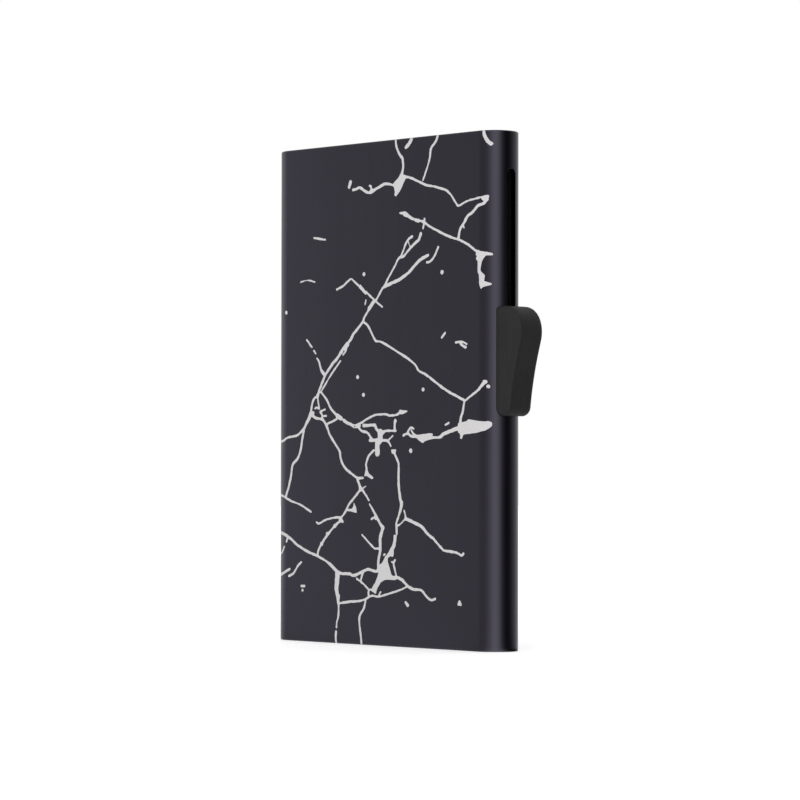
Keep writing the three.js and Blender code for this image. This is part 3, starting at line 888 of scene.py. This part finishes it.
def inkField():
    # how far each point of a grid lies inside the ink, below 0 outside it
    spec = veinSpec
    cell = spec["cell"]
    edge = spec["halfWidth"] + 2 * cell
    xs = np.arange(-edge, edge, cell)
    zs = np.arange(-2 * cell, sleeveHeight + 3 * cell, cell)
    field = np.full((len(xs), len(zs)), -5.0)

    def window(points, reach):
        low = np.min(points, axis=0) - reach
        high = np.max(points, axis=0) + reach
        across = slice(*np.searchsorted(xs, (low[0], high[0])))
        along = slice(*np.searchsorted(zs, (low[1], high[1])))
        return (across, along), xs[across][:, None], zs[along][None, :]

    def distance(x, z, p, q):
        run = (q[0] - p[0], q[1] - p[1])
        length = max(run[0] ** 2 + run[1] ** 2, 1e-9)
        share = np.clip(((x - p[0]) * run[0] + (z - p[1]) * run[1]) / length, 0, 1)
        return np.hypot(x - p[0] - share * run[0], z - p[1] - share * run[1]), share

    for start, end, points in veins:
        line = rounded([laid(*point) for point in points])
        widths = np.linspace(start, end, len(line)) + spec["swell"]
        for p, q, first, second in zip(line, line[1:], widths, widths[1:]):
            where, x, z = window((p, q), spec["reach"])
            gap, share = distance(x, z, p, q)
            field[where] = np.maximum(field[where], (first + (second - first) * share) / 2 - gap)
    for outline in patches:
        points = [laid(*point) for point in outline]
        where, x, z = window(points, spec["reach"])
        nearest, inside = 9.0, False
        for p, q in zip(points, points[1:] + points[:1]):
            nearest = np.minimum(nearest, distance(x, z, p, q)[0])
            if p[1] != q[1]:
                crossing = (p[1] > z) != (q[1] > z)
                inside = inside ^ (crossing & (x < p[0] + (q[0] - p[0]) * (z - p[1]) / (q[1] - p[1])))
        field[where] = np.maximum(field[where], np.where(inside, nearest, -nearest))
    for drawnX, drawnZ, radius in dots:
        dotX, dotZ = laid(drawnX, drawnZ)
        where, x, z = window([(dotX, dotZ)], spec["reach"])
        field[where] = np.maximum(field[where], radius - np.hypot(x - dotX, z - dotZ))
    for drawnX, drawnZ, radius in holes:
        holeX, holeZ = laid(drawnX, drawnZ)
        where, x, z = window([(holeX, holeZ)], spec["reach"])
        field[where] = np.minimum(field[where], np.hypot(x - holeX, z - holeZ) - radius)
    for cells, share in ((5, 1.0), (2, 0.6)):
        field += spec["ragged"] * share * softNoise(*field.shape, cells, spec["raggedSeed"] + cells)
    field[1:-1] = (field[:-2] + 2 * field[1:-1] + field[2:]) / 4
    field[:, 1:-1] = (field[:, :-2] + 2 * field[:, 1:-1] + field[:, 2:]) / 4
    margin = np.minimum(zs, sleeveHeight - zs)[None, :] - spec["rimMargin"]
    field = np.minimum(field, np.minimum(spec["halfWidth"] - np.abs(xs)[:, None], margin))
    return field, xs, zs


def onFront(x, z, lift):
    # the point of the sleeve's front at x and z, with its rounded sides and rims, raised by lift
    turn = math.asin(max(0.0, abs(x) - sideCentre) / outerRadius)
    rim = sleeveSpec["rim"]
    past = max(0.0, rim - min(z, sleeveHeight - z))
    drop = rim - math.sqrt(rim**2 - past**2)
    out = lift - drop
    side = math.copysign(math.sin(turn), x)
    return (x + side * out, -outerRadius * math.cos(turn) - math.cos(turn) * out, z)


def makeVeinPrint():
    # walks the grid's cells and keeps the part of each that is inked
    field, xs, zs = inkField()
    points, faces, found = [], [], {}

    def point(key, x, z):
        if key not in found:
            found[key] = len(points)
            points.append(onFront(x, z, veinSpec["lift"]))
        return found[key]

    inked = field > 0
    touched = inked[:-1, :-1] | inked[1:, :-1] | inked[1:, 1:] | inked[:-1, 1:]
    for i, k in np.argwhere(touched).tolist():
        corners = ((i, k), (i + 1, k), (i + 1, k + 1), (i, k + 1))
        outline = []
        for a, b in zip(corners, corners[1:] + corners[:1]):
            if field[a] > 0:
                outline.append(point(a, xs[a[0]], zs[a[1]]))
            if (field[a] > 0) != (field[b] > 0):
                a, b = min(a, b), max(a, b)
                share = min(0.9, max(0.1, field[a] / (field[a] - field[b])))
                x = xs[a[0]] + (xs[b[0]] - xs[a[0]]) * share
                z = zs[a[1]] + (zs[b[1]] - zs[a[1]]) * share
                outline.append(point((a, b), x, z))
        if len(outline) > 2:
            faces.append(outline)
    print("ink cells:", len(faces))
    ink = addObject("vein_print", points, faces)
    bm = bmesh.new()
    bm.from_mesh(ink.data)
    low = veinSpec["rimClear"] * mm
    high = (sleeveHeight - veinSpec["rimClear"]) * mm
    flat = [v for v in bm.verts if abs(v.co.x) < sideCentre * mm and low < v.co.z < high]
    kept = set(flat)
    origin = (xs[0], 0, zs[0])

    def onSeam(edge, axis):
        # some grid lines stay, so that no face grows too large to triangulate quickly
        seamGap = veinSpec["cell"] * veinSpec["seamEvery"]
        steps = [(v.co[axis] / mm - origin[axis]) / seamGap for v in edge.verts]
        return abs(steps[0] - steps[1]) < 0.001 and abs(steps[0] - round(steps[0])) < 0.001

    inner = [e for e in bm.edges if e.verts[0] in kept and e.verts[1] in kept]
    inner = [e for e in inner if not onSeam(e, 0) and not onSeam(e, 2)]
    bmesh.ops.dissolve_limit(bm, angle_limit=0.001, use_dissolve_boundaries=False, verts=flat, edges=inner)
    bmesh.ops.triangulate(bm, faces=bm.faces)
    for face in bm.faces:
        if face.normal.y > 0:
            face.normal_flip()
    bm.to_mesh(ink.data)
    bm.free()
    layer = ink.modifiers.new("layer", "SOLIDIFY")
    layer.thickness = veinSpec["depth"] * mm
    layer.offset = -1
    applyModifiers(ink)
    ink.data.set_sharp_from_angle(angle=math.radians(40))
    paint(ink, "marble_print")
    place(ink, "case", "marble_print")


makeVeinPrint()
print("print made")


# ---- the thumb tab: a moulded grip that hugs the sleeve, and a split neck that goes in at the slot

tabSpec = {
    "bottom": 44.2,
    "root": 29.4,
    "reach": 36.25,
    "footRadius": 1.95,
    "corner": 0.8,
    "halfDepth": 3.15,
    "round": 0.7,  # of its edges
    "roundSteps": 7,
    "hugGap": 0.05,
    "neckHalf": 0.8,
    "neckSplit": 0.2,
    "beadHalf": 1.15,
    "beadLength": 0.5,
    "neckEdge": 0.08,
}


def tabOutline(top):
    # x and z, anticlockwise as seen from the front: round foot, hollow back for the thumb, full head
    spec = tabSpec
    root, reach, corner = spec["root"], spec["reach"], spec["corner"]
    footCentre = (root + spec["footRadius"], spec["bottom"] + spec["footRadius"])
    line = arc(footCentre, spec["footRadius"], 180, 360, 22)
    ends = [line[-1], (root + 4.5, top - 13.3), (reach - 0.4, top - 6.85)]
    line += bezier(ends, 22)
    head = [line[-1], (reach + 0.65, top - 3.75), (reach - 0.8, top), (reach - 4.5, top)]
    line += bezier(head, 26)
    line += [(root + corner + k, top) for k in (1.4, 0.7)]
    line += arc((root + corner, top - corner), corner, 90, 180, 8)
    low = footCentre[1]
    line += [(root, low + (top - corner - low) * k / 14) for k in range(13, 0, -1)]
    return [(p[0], p[1]) for p in line]


def insetOutline(outline, amount):
    inner = []
    for before, here, after in zip(outline[-1:] + outline, outline, outline[1:] + outline[:1]):
        run = Vector((after[0] - before[0], after[1] - before[1])).normalized()
        inner.append((here[0] - run.y * amount, here[1] + run.x * amount))
    return inner


def makeTab():
    spec = tabSpec
    low, high = boxMm("thumb_tab")
    outline = tabOutline(high.z)
    turns = [math.radians(90 * k / spec["roundSteps"]) for k in range(spec["roundSteps"] + 1)]
    shoulder = spec["halfDepth"] - spec["round"]
    outer = [(shoulder + spec["round"] * math.sin(a), spec["round"] * (1 - math.cos(a))) for a in turns]
    middle = [(shoulder * k / 4, 0) for k in range(-3, 4)]
    stations = [(-y, inset) for y, inset in reversed(outer)] + middle + outer
    hugRadius = outerRadius + spec["hugGap"]
    points, faces = [], []
    for y, inset in stations:
        hug = sideCentre + math.sqrt(hugRadius**2 - y * y)
        points += [(max(x, hug), y, z) for x, z in insetOutline(outline, inset)]
    count = len(outline)
    for s in range(len(stations) - 1):
        for k in range(count):
            n = (k + 1) % count
            at = s * count
            faces.append((at + k, at + n, at + count + n, at + count + k))
    faces.append(tuple(range(count)))
    faces.append(tuple(range(len(points) - count, len(points))))
    tab = addObject("thumb_grip", points, faces)
    paint(tab, "tab_plastic")
    place(tab, "slider", "tab_plastic", "thumb_tab")
    makeTabNeck(low)


def makeTabNeck(low):
    # two springy halves, each ending in a bead that snaps into the carriage
    spec = tabSpec
    bottom, top = spec["bottom"] + 2.8, spec["bottom"] + 20
    for name, side in (("front", -1), ("rear", 1)):
        end = sideCentre + outerRadius + 0.6
        bead = low.x + spec["beadLength"]
        section = [(low.x, spec["neckSplit"]), (end, spec["neckSplit"]), (end, spec["neckHalf"]),
                   (bead, spec["neckHalf"]), (bead, spec["beadHalf"]), (low.x, spec["beadHalf"])]
        points = [(x, side * y, z) for z in (bottom, top) for x, y in section]
        count = len(section)
        faces = [tuple(range(count)), tuple(range(count, 2 * count))]
        faces += [(k, (k + 1) % count, count + (k + 1) % count, count + k) for k in range(count)]
        neck = addObject("tab_neck_" + name, points, faces)
        roundEdges(neck, spec["neckEdge"], segments=3, angle=30)
        applyModifiers(neck)
        paint(neck, "tab_plastic")
        place(neck, "slider", "tab_plastic", "thumb_tab")


makeTab()
print("tab made")


# ---- the mouldings and the spring inside: their own shapes with the edges broken

insideSpec = {
    "end_cap": ("bottom_cap", "case", "inner_plastic", 0.18),
    "carriage_guide": ("slider_channel", "case", "inner_plastic", 0.12),
    "card_guide": ("side_guide", "case", "inner_plastic", 0.15),
    "card_lifter": ("lift_carriage", "slider", "inner_plastic", 0.10),
    "brake_leaf": ("brake_spring", "slider", "spring_steel", 0.03),
}


def makeInsidePiece(name, node, body, slotName, edge):
    bm = bmesh.new()
    bm.from_mesh(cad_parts[node].data)
    bmesh.ops.remove_doubles(bm, verts=bm.verts, dist=0.002 * mm)
    bmesh.ops.dissolve_limit(bm, angle_limit=math.radians(0.5), verts=bm.verts, edges=bm.edges)
    mesh = bpy.data.meshes.new(name)
    bm.to_mesh(mesh)
    bm.free()
    for stale in [a for a in mesh.attributes if a.name == "custom_normal"]:
        mesh.attributes.remove(stale)
    obj = bpy.data.objects.new(name, mesh)
    bpy.context.scene.collection.objects.link(obj)
    mesh.polygons.foreach_set("use_smooth", [True] * len(mesh.polygons))
    roundEdges(obj, edge, segments=3, angle=28)
    applyModifiers(obj)
    paint(obj, slotName)
    place(obj, body, slotName, node)


for name, facts in insideSpec.items():
    makeInsidePiece(name, *facts)
print("inside pieces made:", len(insideSpec))


# ---- the foam: strips on both walls that grip the cards, and a pad on the cap's ledge

foamSpec = {
    "crown": 0.16,  # share of the thickness that the face rises from its edges to its middle
    "edge": 0.22,
    "steps": 12,
    "fill": 0.8,
}


def makeFoam(name, node, face):
    # face is the direction that the crowned side looks in
    low, high = boxMm(node)
    steps = foamSpec["steps"]
    thin = 1 if face.y else 2
    wide = [axis for axis in (0, 1, 2) if axis != thin]
    top = high[thin] if face[thin] > 0 else low[thin]
    base = low[thin] if face[thin] > 0 else high[thin]
    points, faces = [], []
    for level in (top, base):
        for i in range(steps + 1):
            for k in range(steps + 1):
                u, v = 2 * i / steps - 1, 2 * k / steps - 1
                spot = [0, 0, 0]
                spot[wide[0]] = low[wide[0]] + (high[wide[0]] - low[wide[0]]) * i / steps
                spot[wide[1]] = low[wide[1]] + (high[wide[1]] - low[wide[1]]) * k / steps
                fall = foamSpec["crown"] * (1 - (1 - u * u) * (1 - v**4)) if level == top else 0
                spot[thin] = level + (base - top) * fall
                points.append(tuple(spot))
    side = steps + 1
    half = side * side
    for i in range(steps):
        for k in range(steps):
            at = i * side + k
            for start in (0, half):
                faces.append((start + at, start + at + 1, start + at + side + 1, start + at + side))
    rim = [k for k in range(side)] + [i * side + steps for i in range(1, side)]
    rim += [steps * side + k for k in range(steps - 1, -1, -1)] + [i * side for i in range(steps - 1, 0, -1)]
    for a, b in zip(rim, rim[1:] + rim[:1]):
        faces.append((a, b, half + b, half + a))
    foam = addObject(name, points, faces)
    roundEdges(foam, foamSpec["edge"], segments=4, angle=50)
    applyModifiers(foam)
    paint(foam, "foam")
    place(foam, "case", "foam", node)


for wall, direction in (("front", 1), ("rear", -1)):
    for end in ("left", "right"):
        makeFoam("foam_" + wall + "_" + end, "grip_strip_" + wall + "_" + end, Vector((0, direction, 0)))
makeFoam("ledge_foam", "rest_pad", Vector((0, 0, 1)))
print("foam made")


# ---- floor and light

studio = {
    "floorHalf": 1.6,  # metres
    "floorPale": (0.86, 0.86, 0.86),
    "floorMottle": 0.985,
    "floorGlow": 0.4,  # keeps the floor pale under the wallet
    "ceiling": 1.15,
    "ceilingFrom": (0.6, 0.95),
    "panel": {"turn": -70, "distance": 0.2, "height": 0.04, "size": (0.13, 0.26), "watts": 0.045},
    # brightness of the surroundings against the angle round from the printed front, towards the tab
    "walls": [(-180, 0.9), (-135, 0.72), (-90, 0.7), (-60, 0.92), (-30, 0.62), (0, 0.57), (22, 1.0),
              (45, 2.4), (66, 1.4), (84, 0.03), (120, 0.0), (140, 0.5), (160, 0.8), (180, 0.9)],
}


def surroundings():
    # brightness of the room against the direction round the wallet
    tree, given, result = newGroup(
        "surroundings",
        [("Direction", "NodeSocketVector", None)],
        [("Brightness", "NodeSocketFloat")],
    )
    parts = addNode(tree, "ShaderNodeSeparateXYZ")
    feed(tree, given["Direction"], parts.inputs[0])
    forward = calculate(tree, "MULTIPLY", parts.outputs["Y"], -1.0)
    turn = calculate(tree, "ARCTAN2", parts.outputs["X"], forward)
    span = addNode(tree, "ShaderNodeMapRange")
    span.inputs["From Min"].default_value = -math.pi
    span.inputs["From Max"].default_value = math.pi
    feed(tree, turn, span.inputs["Value"])
    peak = max(level for angle, level in studio["walls"])
    stops = [((angle + 180) / 360, (level / peak,) * 3) for angle, level in studio["walls"]]
    scaled = addNode(tree, "ShaderNodeMath", operation="MULTIPLY")
    scaled.inputs[1].default_value = peak
    rampTo(tree, span.outputs[0], stops, scaled.inputs[0], "B_SPLINE")
    feed(tree, scaled.outputs[0], result["Brightness"])
    return tree


surroundingsGroup = surroundings()


def makeFloor():
    # the camera sees a pale floor; the wallet sees the room go on below it
    half = studio["floorHalf"] / mm
    corners = [(-half, -half, 0), (half, -half, 0), (half, half, 0), (-half, half, 0)]
    floor = addObject("floor", corners, [(0, 1, 2, 3)])
    material, tree, shader, position = newMaterial("paleFloor", 0.0, 0.7, 0.3)
    mottle = useGroup(tree, grainGroup, Grain_Size=0.004, Softness=0.6)
    room = useGroup(tree, surroundingsGroup)
    feed(tree, position, mottle.inputs["Position"])
    fromRound = addNode(tree, "ShaderNodeVectorMath", operation="SUBTRACT")
    fromRound.inputs[1].default_value = (sideCentre * mm, 0, 0)
    feed(tree, position, fromRound.inputs[0])
    feed(tree, fromRound.outputs[0], room.inputs["Direction"])
    pale = studio["floorPale"]
    tone = addNode(tree, "ShaderNodeMix", data_type="RGBA")
    tone.inputs[6].default_value = (0, 0, 0, 1)
    shade = tuple(studio["floorMottle"] * c for c in pale)
    rampTo(tree, mottle.outputs["Speckle"], [(0.2, shade), (0.8, pale)], tone.inputs[7])
    feed(tree, tone.outputs[2], shader.inputs["Base Color"])
    glow = addNode(tree, "ShaderNodeMix")
    glow.inputs[3].default_value = studio["floorGlow"]
    feed(tree, room.outputs[0], glow.inputs[2])
    feed(tree, glow.outputs[0], shader.inputs["Emission Strength"])
    shader.inputs["Emission Color"].default_value = (1, 1, 1, 1)
    seen = addNode(tree, "ShaderNodeLightPath")
    feed(tree, seen.outputs["Is Camera Ray"], tone.inputs[0])
    feed(tree, seen.outputs["Is Camera Ray"], glow.inputs[0])
    floor.data.materials.append(material)


def makeSurroundings():
    world = bpy.data.worlds.new("studio")
    world.use_nodes = True
    bpy.context.scene.world = world
    tree = world.node_tree
    background = tree.nodes["Background"]
    background.inputs["Color"].default_value = (1, 1, 1, 1)
    direction = addNode(tree, "ShaderNodeTexCoord").outputs["Generated"]
    room = useGroup(tree, surroundingsGroup)
    parts = addNode(tree, "ShaderNodeSeparateXYZ")
    feed(tree, direction, room.inputs["Direction"])
    feed(tree, direction, parts.inputs[0])
    rise = addNode(tree, "ShaderNodeMapRange", "up to the ceiling", interpolation_type="SMOOTHSTEP")
    rise.inputs["From Min"].default_value, rise.inputs["From Max"].default_value = studio["ceilingFrom"]
    feed(tree, parts.outputs["Z"], rise.inputs["Value"])
    level = addNode(tree, "ShaderNodeMix")
    level.inputs[3].default_value = studio["ceiling"]
    feed(tree, rise.outputs[0], level.inputs[0])
    feed(tree, room.outputs[0], level.inputs[2])
    backdrop = addNode(tree, "ShaderNodeMix")
    backdrop.inputs[3].default_value = 1.0
    feed(tree, addNode(tree, "ShaderNodeLightPath").outputs["Is Camera Ray"], backdrop.inputs[0])
    feed(tree, level.outputs[0], backdrop.inputs[2])
    feed(tree, backdrop.outputs[0], background.inputs["Strength"])
    bpy.context.scene.view_settings.view_transform = "Standard"
    bpy.context.scene.view_settings.look = "None"


def makePanel():
    # a near softbox on the left, so that the front falls away towards the tab
    spec = studio["panel"]
    data = bpy.data.lights.new("sidePanel", "AREA")
    data.shape = "RECTANGLE"
    data.size, data.size_y = spec["size"]
    data.energy = spec["watts"]
    panel = bpy.data.objects.new("sidePanel", data)
    bpy.context.scene.collection.objects.link(panel)
    turn = math.radians(spec["turn"])
    out = Vector((math.sin(turn), -math.cos(turn), 0))
    panel.location = out * spec["distance"] + Vector((0, 0, spec["height"]))
    panel.rotation_mode = "QUATERNION"
    panel.rotation_quaternion = (-out).to_track_quat("-Z", "Y")
    panel.visible_camera = False


makeFloor()
makeSurroundings()
makePanel()
print("studio made")
